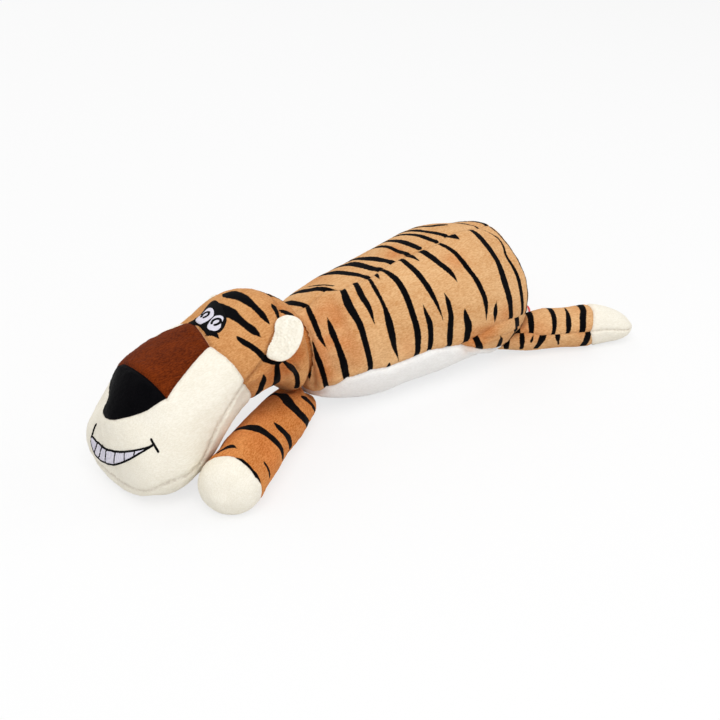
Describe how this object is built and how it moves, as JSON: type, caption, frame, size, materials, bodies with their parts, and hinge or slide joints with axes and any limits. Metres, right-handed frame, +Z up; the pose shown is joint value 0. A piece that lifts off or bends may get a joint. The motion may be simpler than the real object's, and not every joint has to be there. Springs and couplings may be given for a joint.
{
  "type": "plush tiger",
  "caption": "Plush tiger lying on its belly, with a big pale muzzle, stitched grin and eyes, striped cloth, round ears and swinging stuffed limbs.",
  "frame": {"origin": "on the floor under the middle of the whole toy", "axes": "+Z up; the head points along -X and is turned a little towards -Y; the toy's left side is -Y"},
  "size_m": [0.463, 0.2168, 0.11],
  "materials": {
    "orange_plush": "short striped plush",
    "deep_orange_plush": "short striped plush, deeper colour",
    "belly_plush": "short grey-white plush",
    "cream_plush": "short off-white plush",
    "brown_plush": "short brown plush",
    "black_plush": "short black plush",
    "black_thread": "satin-stitched thread",
    "pale_thread": "satin-stitched thread",
    "fill": "loose polyester fibre",
    "label_tape": "bare woven tape with a thin coloured edge"
  },
  "bodies": {
    "torso": {"left_flank_panel": "orange_plush", "right_flank_panel": "orange_plush", "belly_panel": "belly_plush", "body_fill": "fill", "sewn_label": "label_tape"},
    "neck": {"neck_sleeve": "deep_orange_plush", "neck_fill": "fill"},
    "head": {"crown_panel": "orange_plush", "head_back_panel": "orange_plush", "bridge_panel": "brown_plush", "nose_panel": "black_plush", "muzzle_panel": "cream_plush", "chin_panel": "cream_plush", "head_fill": "fill", "eye_patch": "black_thread", "left_eye_white": "pale_thread", "right_eye_white": "pale_thread", "left_pupil": "black_thread", "right_pupil": "black_thread", "teeth_patch": "pale_thread", "grin_line": "black_thread"},
    "left_ear": {"left_ear_front": "cream_plush", "left_ear_back": "orange_plush"},
    "left_arm": {"left_sleeve_upper": "deep_orange_plush", "left_sleeve_lower": "deep_orange_plush", "left_paw_upper": "cream_plush", "left_paw_lower": "cream_plush", "left_arm_fill": "fill"},
    "left_hind_leg": {"left_leg_cloth_upper": "orange_plush", "left_leg_cloth_lower": "orange_plush", "left_foot_upper": "cream_plush", "left_foot_lower": "cream_plush", "left_leg_fill": "fill"},
    "right_ear": {"right_ear_front": "cream_plush", "right_ear_back": "orange_plush"},
    "right_arm": {"right_sleeve_upper": "deep_orange_plush", "right_sleeve_lower": "deep_orange_plush", "right_paw_upper": "cream_plush", "right_paw_lower": "cream_plush", "right_arm_fill": "fill"},
    "right_hind_leg": {"right_leg_cloth_upper": "orange_plush", "right_leg_cloth_lower": "orange_plush", "right_foot_upper": "cream_plush", "right_foot_lower": "cream_plush", "right_leg_fill": "fill"}
  },
  "joints": [
    {"name": "neck_turn", "type": "hinge", "parent": "torso", "child": "neck", "pos_m": [-0.06055, 0, 0.05], "axis": [0, 0, 1], "range_deg": [-16, 0]},
    {"name": "head_nod", "type": "hinge", "parent": "neck", "child": "head", "pos_m": [-0.06055, 0, 0.05], "axis": [-0.1392, 0.9903, 0], "range_deg": [0, 10]},
    {"name": "left_ear_fold", "type": "hinge", "parent": "head", "child": "left_ear", "pos_m": [-0.102, -0.04294, 0.0902], "axis": [-0.7115, -0.4026, -0.5759], "range_deg": [-15, 30]},
    {"name": "right_ear_fold", "type": "hinge", "parent": "head", "child": "right_ear", "pos_m": [-0.11223, 0.02985, 0.0902], "axis": [0.7949, -0.1909, 0.5759], "range_deg": [0, 60]},
    {"name": "left_arm_swing", "type": "hinge", "parent": "torso", "child": "left_arm", "pos_m": [-0.06381, -0.01645, 0.014], "axis": [0, 0, 1], "range_deg": [0, 30]},
    {"name": "right_arm_swing", "type": "hinge", "parent": "torso", "child": "right_arm", "pos_m": [-0.04022, 0.03111, 0.014], "axis": [0, 0, 1], "range_deg": [0, 40]},
    {"name": "left_leg_swing", "type": "hinge", "parent": "torso", "child": "left_hind_leg", "pos_m": [0.12276, -0.03725, 0.014], "axis": [0, 0, 1], "range_deg": [-22, 0]},
    {"name": "right_leg_swing", "type": "hinge", "parent": "torso", "child": "right_hind_leg", "pos_m": [0.12276, 0.03725, 0.014], "axis": [0, 0, 1], "range_deg": [0, 22]}
  ]
}
